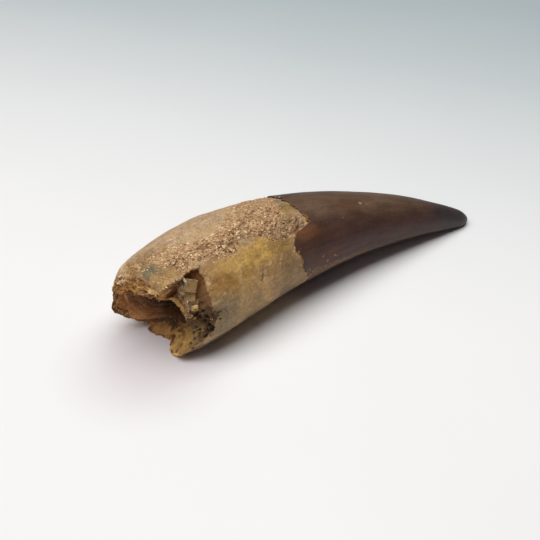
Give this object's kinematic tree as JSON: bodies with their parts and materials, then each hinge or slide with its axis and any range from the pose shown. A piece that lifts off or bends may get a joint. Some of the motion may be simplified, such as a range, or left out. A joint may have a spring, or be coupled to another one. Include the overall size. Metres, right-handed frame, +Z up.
{
  "type": "fossil tooth",
  "caption": "Fossil dinosaur tooth lying on its side: long curved conical crown, hollow broken root, sandstone crust and calcite crystals",
  "frame": {"origin": "centre of the bounding box's bottom face, on the surface the tooth lies on", "axes": "+X from the broken root to the crown's tip, +Y to the convex side, +Z up"},
  "size_m": [0.1265, 0.038, 0.0314],
  "materials": {
    "tooth": "satin enamel on the crown, matt dentine on the root",
    "matrix_crust": "rough, granular",
    "calcite_crystals": "glossy, clear"
  },
  "bodies": {
    "root": {"tooth": "tooth", "matrix_crust": "matrix_crust", "calcite_crystals": "calcite_crystals"}
  },
  "joints": []
}
